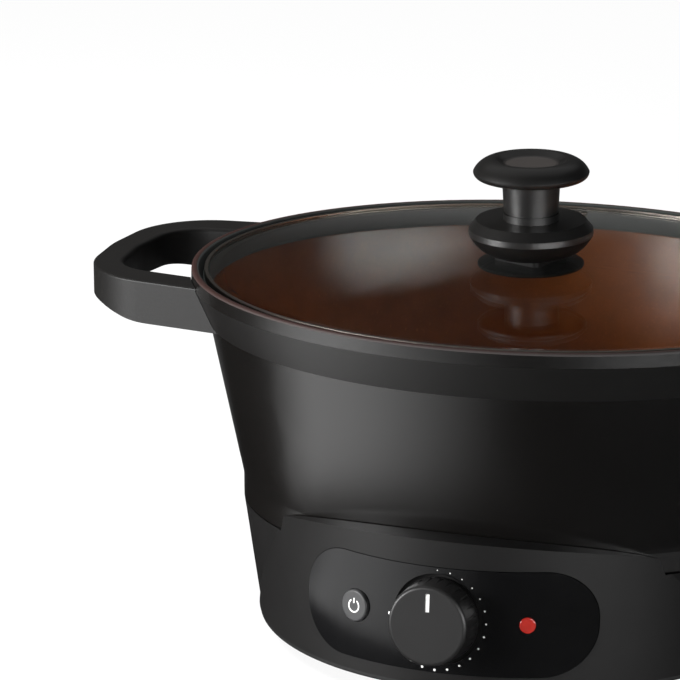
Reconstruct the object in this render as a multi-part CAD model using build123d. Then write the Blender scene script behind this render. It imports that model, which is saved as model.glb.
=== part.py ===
from build123d import *
import os
from math import atan2, cos, degrees, radians, sin, sqrt, tan

os.makedirs("parts", exist_ok=True)

# A countertop multicooker: an oval pot with loop handles and a glass lid, in a base with a console.
# Millimetres, +Z up. The handles point along X and the console faces -Y. Every piece is drawn round
# the pot's axis and moved back as it is saved, so that the origin is on the table at the middle of
# the whole object. Every oval piece is drawn as a profile of (reach along X, height).

# Oval plan
rim_length = 348.0
rim_width = 284.0
oval_ratio = rim_width / rim_length
rim_radius = rim_length / 2

# Main heights above the table
foot_height = 7.0
waist_height = 61.0
pot_underside = 40.0
rim_height = 180.0

# Pot
lip_width = 3.0
lip_round = 1.2
ridge_flare = 0.2
ridge_drop = 7.3
collar_drop = 25.6
collar_inset = 7.9
collar_step = 0.8
waist_inset = 26.0
skirt_height = 12.0
shoulder_width = 6.8
nest_draft = 0.17
pot_wall = 4.5
pot_floor = 5.0
pot_corner = 9.0
seat_inset = 5.8
seat_drop = 5.0
seat_width = 3.7
throat_height = 8.0

# Lid
lid_play = 0.9
band_sheet = 0.4
band_height = 4.4
band_lip = 1.8
glass_play = 0.05
glass_flat = 6.5
dome_rise = 8.3
glass_hole = 4.0
vent_place = (-14.0, 117.5)
vent_bore = 2.2
vent_wall = 0.8
vent_flange = 5.0
vent_sheet = 0.6

# Lid knob
boss_side = 27.5
boss_round = 3.0
boss_turn = -18.0
boss_height = 3.4
guard_neck = 18.2
guard_radius = 31.1
guard_edge_low = 13.0
guard_edge_high = 15.9
guard_plateau_radius = 27.5
guard_height = 20.3
collar_ring_radius = 13.9
collar_ring_height = 3.6
knob_groove = 0.8
knob_neck = 13.0
stem_radius_low = 13.7
stem_radius_high = 14.6
stem_length = 17.0
disc_radius = 29.0
disc_height = 9.7
disc_widest = 3.3
dish_radius = 19.2
dish_floor_radius = 13.0
dish_depth = 2.4
washer_radius = 26.6
washer_thickness = 1.6
washer_gap = 0.1
knob_screw_radius = 2.5
knob_screw_head = 5.5
knob_screw_head_height = 3.0
knob_screw_grip = 11.0
insert_radius = 5.0
thread_play = 0.05
bore_play = 0.3

# Loop handles
handle_drop = 5.2
handle_reach = 227.8
handle_corner_setback = 5.2
handle_root_width = 147.5
handle_corner_width = 116.4
handle_corner_round = 43.0
handle_tip_round = 60.0
handle_bar = 14.8
grip_corner_setback = 4.7
grip_root_width = 109.0
grip_corner_width = 80.4
grip_corner_round = 22.0
grip_tip_round = 40.0
handle_depth = 22.1
handle_tip_depth = 15.5
handle_slope_length = 26.0
handle_slope_setback = 11.8
handle_slope_round = 60.0
handle_edge = 1.0
grip_edge = 2.4
handle_play = 0.25
lug_centre = 55.0
lug_width = 10.0
lug_height = 9.0
lug_reach = 176.0
lug_root = 147.0
lug_rise = 8.2
lug_cover = 1.0
handle_screw_reach = 166.0
handle_screw_radius = 2.5
handle_screw_head = 4.2
handle_screw_head_height = 2.7
handle_screw_sink = 5.2

# Base shell
shell_wall = 3.0
shell_gap = 0.4
base_taper = 7.4
cover_thickness = 2.5
ledge_drop = 4.5
ledge_height = 4.5
ledge_width = 2.1
shell_edge = 0.8

# Console
console_rise = 20.0
console_half_length = 107.0
console_reach = 136.0
console_ratio = 0.96
console_lean = 5.0
console_edge = 2.5
pot_gap = 1.0
fascia_width = 150.0
fascia_height = 52.0
fascia_round = 24.0
fascia_sunk = 0.8
fascia_proud = 0.4
fascia_play = 0.2

# Controls
control_height = 42.0
dial_radius = 21.0
dial_proud = 14.0
dial_wall = 3.0
dial_taper = 1.0
dial_edge = 2.0
dial_gap = 0.5
dial_recess = 3.0
dial_recess_play = 2.0
dial_flutes = 26
flute_radius = 1.3
flute_depth = 0.7
hub_radius = 6.5
pointer_length = 9.0
pointer_width = 2.2
pointer_height = 0.6
pointer_sunk = 1.0
shaft_radius = 3.0
shaft_flat = 2.2
shaft_play = 0.06
shaft_top = 9.0
shaft_depth = 16.0
switch_side = 22.0
switch_depth = 11.0
bushing_radius = 5.0
nut_radius = 8.0
nut_thickness = 2.0
side_control_place = 44.0
button_radius = 8.0
button_proud = 2.2
button_flange = 9.5
button_flange_thickness = 1.2
button_play = 0.3
button_travel = 1.5
flange_gap = 0.1
plunger_radius = 1.8
plunger_height = 0.8
plunger_gap = 0.2
housing_radius = 12.0
housing_length = 9.0
housing_wall = 1.6
seat_depth = 4.2
seat_rim = 1.0
lens_radius = 4.0
lens_proud = 0.8
lens_flange = 6.0
lens_pipe = 2.5
lens_length = 9.0
board_length = 88.0
board_depth = 34.0
board_thickness = 1.6
board_place = (0.0, -90.0)
board_boss_height = 4.5
board_boss_radius = 3.0
board_boss_inset = 4.5
board_screw_radius = 1.2
board_screw_head = 2.4
board_screw_head_height = 1.4
board_screw_bite = 5.0

# Well, heating plate and sensor
liner_sheet = 0.8
liner_play = 0.6
liner_lip = 2.0
liner_floor = 28.0
liner_corner = 4.0
plate_radius = 112.0
plate_thickness = 7.0
plate_bore = 17.0
leg_place = 92.0
leg_radius = 6.0
plate_screw_radius = 2.0
plate_screw_head = 4.0
plate_screw_head_height = 2.4
plate_screw_bite = 8.0
element_place = 66.0
element_radius = 3.5
element_play = 0.1
element_gap = 24.0
terminal_radius = 2.2
terminal_drop = 17.0
bushing_tube = 4.4
bushing_neck = 3.1
bushing_length = 6.2
sensor_gap = 0.3
sensor_cap = 14.5
sensor_cap_height = 3.0
sensor_stem = 12.3
sensor_wall = 1.6
sensor_length = 17.7
sensor_play = 0.3
sensor_travel = 2.5
sensor_housing_wall = 1.8
sensor_housing_drop = 13.0
sensor_housing_rise = 2.0
sensor_housing_flange = 18.5
sensor_housing_floor = 1.5
spring_radius = 8.0
spring_wire = 0.6
spring_turns = 7
fuse_place = (56.0, 0.0)
fuse_radius = 2.8
fuse_length = 22.0
fuse_clip_width = 12.0
fuse_clip_sheet = 1.0

# Underside
cover_inset = 0.4
foot_places = {
    "front_left": (-98.0, -58.0),
    "front_right": (98.0, -58.0),
    "rear_left": (-98.0, 58.0),
    "rear_right": (98.0, 58.0),
}
foot_radius = 11.0
foot_round = 1.5
stud_radius = 3.0
stud_height = 5.0
stud_play = 0.1
post_places = [(-62.0, -70.0), (62.0, -70.0), (-62.0, 70.0), (62.0, 70.0)]
post_radius = 6.5
base_screw_radius = 2.0
base_screw_head = 4.0
base_screw_head_height = 3.0
base_screw_sink = 5.0
base_nut_radius = 4.5
base_nut_height = 3.0
vent_slots = 5
slot_length = 70.0
slot_width = 4.0
slot_pitch = 12.0

# Cord gland and terminal block at the rear
gland_height = 18.2
gland_radius = 6.0
gland_flange = 8.0
gland_bore = 3.6
gland_proud = 4.0
gland_seat = 1.2
gland_seat_rim = 0.5
gland_nut_radius = 8.0
gland_nut_length = 4.0
gland_depth = 12.0
terminal_block_size = (34.0, 16.0, 12.0)
terminal_block_place = (0.0, 84.0)
terminal_ways = 3
terminal_pitch = 10.0
terminal_hole = 2.4


# Drawing helpers
def outline(points, rounds):
    face = make_face(Polyline(*points, close=True))
    for index, radius in rounds.items():
        corner = face.vertices().sort_by_distance((*points[index], 0))[0]
        face = fillet(corner, radius)
    return face


def turn(points, rounds):
    return revolve(Plane.XZ * outline(points, rounds), Axis.Z)


def oval(points, rounds):
    return scale(turn(points, rounds), by=(1, oval_ratio, 1))


def console(points, rounds):
    return scale(turn(points, rounds), by=(console_ratio, 1, 1))


def rod(radius, low, high, place=(0, 0)):
    return Pos(*place, low) * extrude(Circle(radius), high - low)


def tube(radius, bore, low, high, place=(0, 0)):
    return rod(radius, low, high, place) - rod(bore, low - 1, high + 1, place)


def group(shapes):
    return Compound(list(shapes))


# Sizes that several pieces share
waist_radius = rim_radius - waist_inset
skirt_top = waist_height + skirt_height
collar_bottom = rim_height - collar_drop
ridge_height = rim_height - ridge_drop
wall_top_radius = rim_radius - collar_inset - collar_step
wall_slope = (wall_top_radius - waist_radius) / (collar_bottom - skirt_top)
nest_radius = waist_radius - shoulder_width
nest_low_radius = nest_radius - nest_draft * (waist_height - pot_underside)
seat_height = rim_height - seat_drop
seat_outer = rim_radius - seat_inset
seat_inner = seat_outer - seat_width
throat_low = seat_height - throat_height


def wall_radius(height):
    return waist_radius + wall_slope * max(0.0, height - skirt_top)


# Pot: a cast body with a ridged collar, a lip round the lid's seat and four lugs for the handles
def pot_envelope(margin, low):
    # The pot's outside, grown by a margin and filled, from one height up
    points = [
        (0, low),
        (waist_radius + margin, low),
        (waist_radius + margin, skirt_top),
        (wall_top_radius + margin, collar_bottom),
        (rim_radius - collar_inset + margin, collar_bottom),
        (rim_radius + ridge_flare + margin, ridge_height),
        (rim_radius + margin, rim_height + margin),
        (0, rim_height + margin),
    ]
    return oval(points, {})


def pot_cavity(margin):
    # The pot's inside, grown by a margin
    points = [
        (0, pot_underside + pot_floor - margin),
        (nest_radius - pot_wall + margin, pot_underside + pot_floor - margin),
        (wall_radius(skirt_top) - pot_wall + margin, skirt_top),
        (wall_radius(throat_low) - pot_wall + margin, throat_low),
        (seat_inner + margin, throat_low),
        (seat_inner + margin, rim_height + margin),
        (0, rim_height + margin),
    ]
    return oval(points, {})


def lug_boxes(margin):
    centre_height = rim_height - handle_drop - handle_depth + lug_rise + lug_height / 2
    length = lug_reach - lug_root
    box = Box(length + 2 * margin, lug_width + 2 * margin, lug_height + 2 * margin)
    boxes = []
    for side in (-1, 1):
        for arm in (-1, 1):
            place = (side * (lug_root + length / 2), arm * lug_centre, centre_height)
            boxes.append(Pos(*place) * box)
    return boxes


handle_screw_places = []
for side in (-1, 1):
    for arm in (-1, 1):
        handle_screw_places.append((side * handle_screw_reach, arm * lug_centre))
handle_top = rim_height - handle_drop
handle_bottom = handle_top - handle_depth


def make_pot_body():
    inner_shoulder = skirt_top + 6
    points = [
        (0, pot_underside),
        (nest_low_radius, pot_underside),
        (nest_radius, waist_height),
        (waist_radius, waist_height),
        (waist_radius, skirt_top),
        (wall_top_radius, collar_bottom),
        (rim_radius - collar_inset, collar_bottom),
        (rim_radius + ridge_flare, ridge_height),
        (rim_radius, rim_height),
        (rim_radius - lip_width, rim_height),
        (seat_outer, seat_height),
        (seat_inner, seat_height),
        (seat_inner, throat_low),
        (wall_radius(throat_low) - pot_wall, throat_low - 1),
        (wall_radius(inner_shoulder) - pot_wall, inner_shoulder),
        (nest_radius - pot_wall, waist_height),
        (nest_low_radius - pot_wall, pot_underside + pot_floor),
        (0, pot_underside + pot_floor),
    ]
    rounds = {1: pot_corner, 3: 0.8, 4: 12, 8: lip_round, 9: lip_round, 14: 12, 15: 10, 16: pot_corner}
    body = oval(points, rounds)
    cavity = pot_cavity(lug_cover)
    for box in lug_boxes(0):
        body += box - cavity
    top = handle_bottom + lug_rise + lug_height
    for place in handle_screw_places:
        body -= rod(handle_screw_radius + thread_play, handle_bottom, top - 0.5, place)
    return body


# Loop handles: a flat loop with upright sides, thinner at its tip, screwed up into the pot's lugs
handle_corner_reach = handle_reach - handle_corner_setback
grip_reach = handle_reach - handle_bar
grip_corner_reach = grip_reach - grip_corner_setback
handle_slope_end = handle_reach - handle_slope_setback
handle_slope_start = handle_slope_end - handle_slope_length


def handle_loop(reach, corner_reach, root_width, corner_width, corner_round, tip_round):
    root = waist_radius * 0.7
    points = [
        (root, root_width / 2),
        (corner_reach, corner_width / 2),
        (reach, 0),
        (corner_reach, -corner_width / 2),
        (root, -root_width / 2),
    ]
    return outline(points, {1: corner_round, 3: corner_round, 2: tip_round})


def make_handle(side):
    outer = handle_loop(
        handle_reach, handle_corner_reach, handle_root_width,
        handle_corner_width, handle_corner_round, handle_tip_round,
    )
    inner = handle_loop(
        grip_reach, grip_corner_reach, grip_root_width, grip_corner_width, grip_corner_round, grip_tip_round
    )
    low = handle_bottom
    tip_low = handle_top - handle_tip_depth
    under = [
        (waist_radius * 0.7, low),
        (handle_slope_start, low),
        (handle_slope_end, tip_low),
        (handle_reach + 1, tip_low),
        (handle_reach + 1, low - 5),
        (waist_radius * 0.7, low - 5),
    ]
    slope_face = outline(under, {1: handle_slope_round, 2: handle_slope_round})
    wedge = extrude(Plane.XZ * slope_face, handle_root_width, both=True)
    block = Pos(0, 0, low) * extrude(outer, handle_depth) - wedge
    top_edges = block.faces().sort_by(Axis.Z)[-1].outer_wire().edges()
    rim_edges = top_edges.filter_by(lambda edge: edge.center().X > waist_radius * 0.75)
    loop = fillet(rim_edges, handle_edge)
    loop -= Pos(0, 0, low - 1) * extrude(inner, handle_depth + 2)
    hole_edges = loop.edges().filter_by(lambda edge: abs(edge.center().Z - handle_top) < 0.01)
    grip_edges = hole_edges.filter_by(
        lambda edge: edge.center().X > waist_radius * 0.75 and abs(edge.center().Y) < grip_root_width / 2 + 1
    )
    loop = fillet(grip_edges, grip_edge)
    if side < 0:
        loop = mirror(loop, Plane.YZ)
    loop -= pot_envelope(handle_play, waist_height)
    for box in lug_boxes(handle_play):
        loop -= box
    for place in handle_screw_places:
        loop -= rod(handle_screw_radius + bore_play, low - 1, low + handle_depth / 2, place)
        loop -= rod(handle_screw_head + bore_play, low - 1, low + handle_screw_sink, place)
    return loop


def make_handle_screws():
    screws = []
    head_top = handle_bottom + handle_screw_sink
    for place in handle_screw_places:
        head = rod(handle_screw_head, head_top - handle_screw_head_height, head_top, place)
        shank_top = handle_bottom + lug_rise + lug_height - 1.5
        screw = head + rod(handle_screw_radius, head_top, shank_top, place)
        socket = Pos(*place, head_top - handle_screw_head_height) * extrude(RegularPolygon(1.8, 6), 1.4)
        screws.append(screw - socket)
    return group(screws)


# Lid: domed glass in a thin steel band, with a steam vent
lid_radius = seat_outer - lid_play
glass_radius = lid_radius - band_sheet - glass_play
glass_low = seat_height + band_sheet + glass_play
glass_thickness = band_height - 2 * (band_sheet + glass_play)
dome_edge = glass_radius - glass_flat
dome_radius = (dome_edge**2 + dome_rise**2) / (2 * dome_rise)
crown = glass_low + glass_thickness + dome_rise


def dome_drop(reach):
    return dome_radius - sqrt(dome_radius**2 - reach**2)


def dome_profile(low, high):
    # Two arcs of the same sweep, a glass thickness apart, and the flat edge round them
    under = crown - glass_thickness
    middle = dome_edge / 2
    lines = [
        ThreePointArc((0, under), (middle, under - dome_drop(middle)), (dome_edge, low)),
        Line((dome_edge, low), (glass_radius, low)),
        Line((glass_radius, low), (glass_radius, high)),
        Line((glass_radius, high), (dome_edge, high)),
        ThreePointArc((dome_edge, high), (middle, crown - dome_drop(middle)), (0, crown)),
        Line((0, crown), (0, under)),
    ]
    return make_face(lines)


def vent_plane():
    # The glass's top face where the vent stands, with its outward normal
    x, y = vent_place
    depth = sqrt(dome_radius**2 - x**2 - (y / oval_ratio) ** 2)
    height = crown - dome_radius + depth
    return Plane(origin=(x, y, height), x_dir=(1, 0, 0), z_dir=(x / depth, y / (oval_ratio**2 * depth), 1))


def make_lid_glass():
    profile = Plane.XZ * dome_profile(glass_low, glass_low + glass_thickness)
    glass = scale(revolve(profile, Axis.Z), by=(1, oval_ratio, 1))
    glass -= rod(glass_hole, crown - 2 * glass_thickness, crown + 1)
    hole = extrude(Circle(vent_bore + vent_wall + 0.1), 3 * glass_thickness, both=True)
    return glass - vent_plane() * hole


def make_lid_band():
    low = seat_height
    high = seat_height + band_height
    points = [
        (lid_radius, low),
        (lid_radius, high),
        (lid_radius - band_lip, high),
        (lid_radius - band_lip, high - band_sheet),
        (lid_radius - band_sheet, high - band_sheet),
        (lid_radius - band_sheet, low + band_sheet),
        (lid_radius - band_lip, low + band_sheet),
        (lid_radius - band_lip, low),
    ]
    return oval(points, {1: 0.35})


def make_vent_eyelet():
    under = -glass_thickness - 0.1
    profile = [
        (vent_bore, under - vent_sheet),
        (vent_flange, under - vent_sheet),
        (vent_flange, under),
        (vent_bore + vent_wall, under),
        (vent_bore + vent_wall, 0.05),
        (vent_flange, 0.05),
        (vent_flange, 0.05 + vent_sheet),
        (vent_bore, 0.05 + vent_sheet),
    ]
    return vent_plane() * turn(profile, {6: 0.4, 7: 0.4})


# Lid knob: a dished disc on a stem, a finger guard with a square boss, a washer and a screw
guard_top = crown + guard_height
ring_top = guard_top + collar_ring_height
stem_low = ring_top + knob_groove
disc_low = stem_low + stem_length
disc_top = disc_low + disc_height


def make_knob_guard():
    neck_low = crown + boss_height - 1
    edge_low = crown + guard_edge_low
    edge_high = crown + guard_edge_high
    middle = (guard_neck + 0.6 * (guard_radius - guard_neck), neck_low + 0.36 * (edge_low - neck_low))
    lines = [
        ThreePointArc((guard_neck, neck_low), middle, (guard_radius, edge_low)),
        Line((guard_radius, edge_low), (guard_radius, edge_high)),
        Line((guard_radius, edge_high), (guard_plateau_radius, guard_top)),
        Line((guard_plateau_radius, guard_top), (collar_ring_radius, guard_top)),
        Line((collar_ring_radius, guard_top), (collar_ring_radius, ring_top)),
        Line((collar_ring_radius, ring_top), (0, ring_top)),
        Line((0, ring_top), (0, neck_low)),
        Line((0, neck_low), (guard_neck, neck_low)),
    ]
    bowl = revolve(Plane.XZ * make_face(lines), Axis.Z)
    square = RectangleRounded(boss_side, boss_side, boss_round)
    foot = Pos(0, 0, crown) * Rot(0, 0, boss_turn) * extrude(square, boss_height)
    return bowl + foot - rod(knob_screw_radius + bore_play, crown - 1, ring_top + 1)


def make_lid_knob():
    widest = disc_low + disc_widest
    dish_floor = disc_top - dish_depth
    shoulder = (0.42 * dish_radius + 0.58 * disc_radius, disc_top - 0.27 * (disc_top - widest))
    lines = [
        Line((0, ring_top), (knob_neck, ring_top)),
        Line((knob_neck, ring_top), (knob_neck, stem_low)),
        Line((knob_neck, stem_low), (stem_radius_low, stem_low)),
        Line((stem_radius_low, stem_low), (stem_radius_high, disc_low)),
        Line((stem_radius_high, disc_low), (disc_radius - disc_widest, disc_low)),
        ThreePointArc(
            (disc_radius - disc_widest, disc_low),
            (disc_radius - 0.29 * disc_widest, disc_low + 0.29 * disc_widest),
            (disc_radius, widest),
        ),
        ThreePointArc((disc_radius, widest), shoulder, (dish_radius, disc_top)),
        Line((dish_radius, disc_top), (dish_radius - 1.4, disc_top - 0.2)),
        Line((dish_radius - 1.4, disc_top - 0.2), (dish_floor_radius + 1.2, dish_floor + 0.3)),
        Line((dish_floor_radius + 1.2, dish_floor + 0.3), (dish_floor_radius, dish_floor)),
        Line((dish_floor_radius, dish_floor), (0, dish_floor)),
        Line((0, dish_floor), (0, ring_top)),
    ]
    knob = revolve(Plane.XZ * make_face(lines), Axis.Z)
    pocket_top = ring_top + knob_screw_grip + 1
    return knob - rod(insert_radius + thread_play, ring_top - 1, pocket_top)


def make_knob_insert():
    top = ring_top + knob_screw_grip + 0.9
    blank = rod(insert_radius, ring_top + 0.1, top)
    return blank - rod(knob_screw_radius + thread_play, ring_top - 1, top - 1.5)


washer_top = crown - glass_thickness - dome_drop(washer_radius / oval_ratio) - washer_gap
washer_low = washer_top - washer_thickness


def make_knob_washer():
    points = [(0, washer_low), (washer_radius, washer_low), (washer_radius, washer_top), (0, washer_top)]
    washer = turn(points, {1: 0.6, 2: 0.6})
    return washer - rod(knob_screw_radius + bore_play, washer_low - 1, washer_top + 1)


def make_knob_screw():
    head_low = washer_low - knob_screw_head_height
    points = [(0, head_low), (knob_screw_head, head_low), (knob_screw_head, washer_low), (0, washer_low)]
    screw = turn(points, {1: 1.2}) + rod(knob_screw_radius, washer_low, ring_top + knob_screw_grip - 1)
    slot = Pos(0, 0, head_low) * Box(2 * knob_screw_head, 1.2, 2.4)
    return screw - slot


# Base shell: a tapered oval tub with an arched console, a ledge inside for the well's lip
shell_top = waist_height - shell_gap
shell_low = foot_height + cover_thickness
shell_low_radius = waist_radius - base_taper
ledge_top = shell_top - ledge_drop
ledge_low = ledge_top - ledge_height
ledge_radius = waist_radius - shell_wall - ledge_width
console_top = waist_height + console_rise


def console_front(height):
    return console_reach + (console_top - height) * tan(radians(console_lean))


def console_drum(margin, low=shell_low):
    high = console_top + 10
    points = [(0, low), (console_front(low) + margin, low), (console_front(high) + margin, high), (0, high)]
    return console(points, {})


def arch_prism(margin):
    # Everything in front of the pot's centre and under the console's arched top
    half = console_half_length - margin
    rise = console_rise - margin
    wide = console_front(shell_low)
    arch = Pos(0, waist_height) * Ellipse(half, rise)
    skirt = Pos(0, (waist_height + shell_low) / 2 - 5) * Rectangle(2 * wide, waist_height - shell_low + 10)
    face = arch + skirt
    return extrude(Plane.XZ * face, 2 * wide)


def fascia_slab(inner, outer, margin):
    # A curved slab of the console's front between two depths, inside the fascia's outline
    slab = console_drum(outer) - console_drum(inner)
    face = RectangleRounded(fascia_width + 2 * margin, fascia_height + 2 * margin, fascia_round + margin)
    prism = extrude(Plane.XZ * (Pos(0, control_height) * face), 2 * console_front(shell_low))
    return slab & prism


def control_plane(place):
    # The console's face at a distance to the side of the dial, with its outward normal
    depth = console_front(control_height)
    half = depth * console_ratio
    y = -depth * sqrt(1 - (place / half) ** 2)
    lean = tan(radians(console_lean))
    slope_x = place / half**2
    slope_y = y / depth**2
    length = sqrt(slope_x**2 + slope_y**2)
    normal = (slope_x, slope_y, lean * length)
    return Plane(origin=(place, y, control_height), x_dir=(-slope_y, slope_x, 0), z_dir=normal)


dial_plane = control_plane(0)
button_plane = control_plane(-side_control_place)
lens_plane = control_plane(side_control_place)
pad_back = -dial_recess - shell_wall
bushing_top = -dial_recess + nut_thickness + 0.5
shell_slope = base_taper / (shell_top - shell_low)
gland_y = (shell_low_radius + shell_slope * (gland_height - shell_low)) * oval_ratio
gland_plane = Plane(origin=(0, gland_y, gland_height), x_dir=(-1, 0, 0), z_dir=(0, 1, 0))
gland_back = -shell_wall - gland_seat


def make_base_shell():
    wall = [(0, shell_low), (shell_low_radius, shell_low), (waist_radius, shell_top), (0, shell_top)]
    outer = oval(wall, {})
    pod = console_drum(0) & arch_prism(0)
    pod -= pot_envelope(pot_gap, shell_top)
    shell = outer + pod
    cavity = oval(
        [
            (0, shell_low - 1),
            (shell_low_radius - shell_wall, shell_low - 1),
            (waist_radius - shell_wall, ledge_low),
            (ledge_radius, ledge_low),
            (ledge_radius, ledge_top),
            (waist_radius - shell_wall, ledge_top),
            (waist_radius - shell_wall, shell_top + 1),
            (0, shell_top + 1),
        ],
        {},
    )
    keep = oval([(0, ledge_low), (waist_radius, ledge_low), (waist_radius, shell_top), (0, shell_top)], {})
    keep += pot_envelope(pot_gap + shell_wall, shell_top - shell_wall)
    hollow = (console_drum(-shell_wall, shell_low - 1) & arch_prism(shell_wall)) - keep
    shell = shell - hollow - cavity
    shell += dial_plane * rod(dial_radius + dial_recess_play + shell_wall, pad_back, -dial_recess + 1)
    shell += button_plane * rod(housing_radius + seat_rim, -seat_depth, -shell_wall / 2)
    shell += lens_plane * rod(lens_flange + seat_rim, -seat_depth, -shell_wall / 2)
    shell -= dial_plane * rod(dial_radius + dial_recess_play, -dial_recess, dial_proud)
    shell -= dial_plane * rod(bushing_radius + 0.1, pad_back - 5, 0)
    shell -= fascia_slab(-fascia_sunk, 8, fascia_play)
    shell -= button_plane * rod(button_radius + button_play, -3 * shell_wall, 5)
    shell -= lens_plane * rod(lens_radius + 0.1, -3 * shell_wall, 5)
    shell += gland_plane * rod(gland_flange + gland_seat_rim, gland_back, gland_seat)
    shell -= gland_plane * rod(gland_radius + 0.1, -3 * shell_wall, 5)
    return shell


def make_control_fascia():
    panel = fascia_slab(-fascia_sunk, fascia_proud, 0)
    panel -= dial_plane * rod(dial_radius + dial_recess_play, -dial_proud, dial_proud)
    panel -= button_plane * rod(button_radius + button_play, -dial_proud, dial_proud)
    panel -= lens_plane * rod(lens_radius + 0.1, -dial_proud, dial_proud)
    return panel


# Dial with its shaft, switch and nut, all drawn on the dial's plane
def shaft_solid(margin, low, high):
    blank = rod(shaft_radius + margin, low, high)
    flat = Pos(0, shaft_flat + margin + shaft_radius, (low + high) / 2)
    return blank - flat * Box(4 * shaft_radius, 2 * shaft_radius, high - low + 2)


def make_control_dial():
    low = dial_gap - dial_recess
    points = [(0, low), (dial_radius, low), (dial_radius - dial_taper, dial_proud), (0, dial_proud)]
    dial = turn(points, {1: 0.8, 2: dial_edge})
    hollow = dial_radius - dial_wall
    hub_low = bushing_top + dial_gap
    dial -= rod(hollow, low - 1, hub_low)
    dial -= tube(hollow, hub_radius, hub_low - 1, dial_proud - dial_wall)
    for index in range(dial_flutes):
        groove = rod(flute_radius, low + 2, dial_proud + 1, (dial_radius + flute_radius - flute_depth, 0))
        dial -= Rot(0, 0, index * 360 / dial_flutes) * groove
    dial -= shaft_solid(shaft_play, low - 1, shaft_top + 0.2)
    dial -= pointer_block(0.02, dial_proud + 1)
    return dial_plane * dial


def pointer_block(margin, top):
    low = dial_proud - pointer_sunk
    place = (0, dial_radius - 5 - pointer_length / 2, (low + top) / 2)
    return Pos(*place) * Box(pointer_width + 2 * margin, pointer_length + 2 * margin, top - low)


def make_dial_pointer():
    return dial_plane * pointer_block(0, dial_proud - pointer_sunk + pointer_height)


def make_dial_shaft():
    round_part = rod(shaft_radius, -shaft_depth, bushing_top)
    return dial_plane * (round_part + shaft_solid(0, bushing_top, shaft_top))


def make_rotary_switch():
    body = Pos(0, 0, pad_back - switch_depth / 2) * Box(switch_side, switch_side, switch_depth)
    body += rod(bushing_radius, pad_back, bushing_top)
    body -= rod(shaft_radius + shaft_play, -shaft_depth - 0.3, dial_proud)
    return dial_plane * body


def make_switch_nut():
    nut = Pos(0, 0, -dial_recess) * extrude(RegularPolygon(nut_radius, 6), nut_thickness)
    nut -= rod(bushing_radius + thread_play, -dial_recess - 1, 0)
    return dial_plane * nut


# Push button with its small switch, and the indicator's lens
def make_power_button():
    flange_top = -seat_depth - flange_gap
    low = flange_top - button_flange_thickness
    points = [
        (0, low),
        (button_flange, low),
        (button_flange, flange_top),
        (button_radius, flange_top),
        (button_radius, button_proud),
        (0, button_proud),
    ]
    return button_plane * turn(points, {4: 1.0})


def make_button_switch():
    high = -seat_depth
    low = high - housing_length
    housing = tube(housing_radius, housing_radius - housing_wall, low, high)
    floor_top = high - flange_gap - button_flange_thickness - button_travel - plunger_height - plunger_gap
    housing += rod(housing_radius, low, floor_top)
    housing += rod(plunger_radius, floor_top, floor_top + plunger_height)
    return button_plane * housing


def make_indicator_lens():
    low = -seat_depth
    points = [
        (0, low - lens_length),
        (lens_pipe, low - lens_length),
        (lens_pipe, low - 1.2),
        (lens_flange, low - 1.2),
        (lens_flange, low),
        (lens_radius, low),
        (lens_radius, lens_proud),
        (0, lens_proud),
    ]
    return lens_plane * turn(points, {6: 0.6})


# Circuit board, flat on four bosses of the bottom cover
board_low = shell_low + board_boss_height


def board_boss_places():
    half_length = board_length / 2 - board_boss_inset
    half_depth = board_depth / 2 - board_boss_inset
    places = []
    for x in (-half_length, half_length):
        for y in (-half_depth, half_depth):
            places.append((board_place[0] + x, board_place[1] + y))
    return places


def make_control_board():
    sheet = extrude(RectangleRounded(board_length, board_depth, 2), board_thickness)
    board = Pos(*board_place, board_low) * sheet
    for place in board_boss_places():
        board -= rod(board_screw_radius + bore_play, board_low - 1, board_low + board_thickness + 1, place)
    return board


def make_board_screws():
    top = board_low + board_thickness
    screws = []
    for place in board_boss_places():
        shank = rod(board_screw_radius, top - board_screw_bite, top, place)
        screws.append(shank + rod(board_screw_head, top, top + board_screw_head_height, place))
    return group(screws)


# Well liner: the steel well that takes the pot, hung from the shell's ledge
liner_radius = nest_radius + liner_play
liner_top = ledge_top + liner_sheet
liner_low_radius = liner_radius - nest_draft * (liner_top - liner_floor)


def terminal_places():
    places = []
    for side in (-1, 1):
        angle = radians(-90 + side * element_gap / 2)
        places.append((element_place * cos(angle), element_place * sin(angle)))
    return places


def leg_places():
    angles = [radians(90 + 120 * index) for index in range(3)]
    return [(leg_place * cos(angle), leg_place * oval_ratio * sin(angle)) for angle in angles]


def make_well_liner():
    sheet = liner_sheet
    points = [
        (0, liner_floor - sheet),
        (liner_low_radius - liner_corner, liner_floor - sheet),
        (liner_low_radius + sheet, liner_floor + liner_corner),
        (liner_radius + sheet, ledge_top),
        (liner_radius + sheet + liner_lip, ledge_top),
        (liner_radius + sheet + liner_lip, liner_top),
        (liner_radius, liner_top),
        (liner_low_radius, liner_floor + liner_corner),
        (liner_low_radius - liner_corner, liner_floor),
        (0, liner_floor),
    ]
    liner = oval(points, {})
    cuts = [rod(sensor_bore + sensor_housing_wall + 0.2, liner_floor - 3, liner_floor + 3)]
    for place in terminal_places():
        cuts.append(rod(bushing_neck + 0.1, liner_floor - 3, liner_floor + 3, place))
    for place in leg_places():
        cuts.append(rod(plate_screw_radius + bore_play, liner_floor - 3, liner_floor + 3, place))
    for place in post_places:
        cuts.append(rod(base_screw_radius + bore_play, liner_floor - 3, liner_floor + 3, place))
    return liner - cuts


# Heating plate, its cast-in element and their fixings
plate_low = pot_underside - plate_thickness
sensor_bore = sensor_stem + sensor_play


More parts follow.
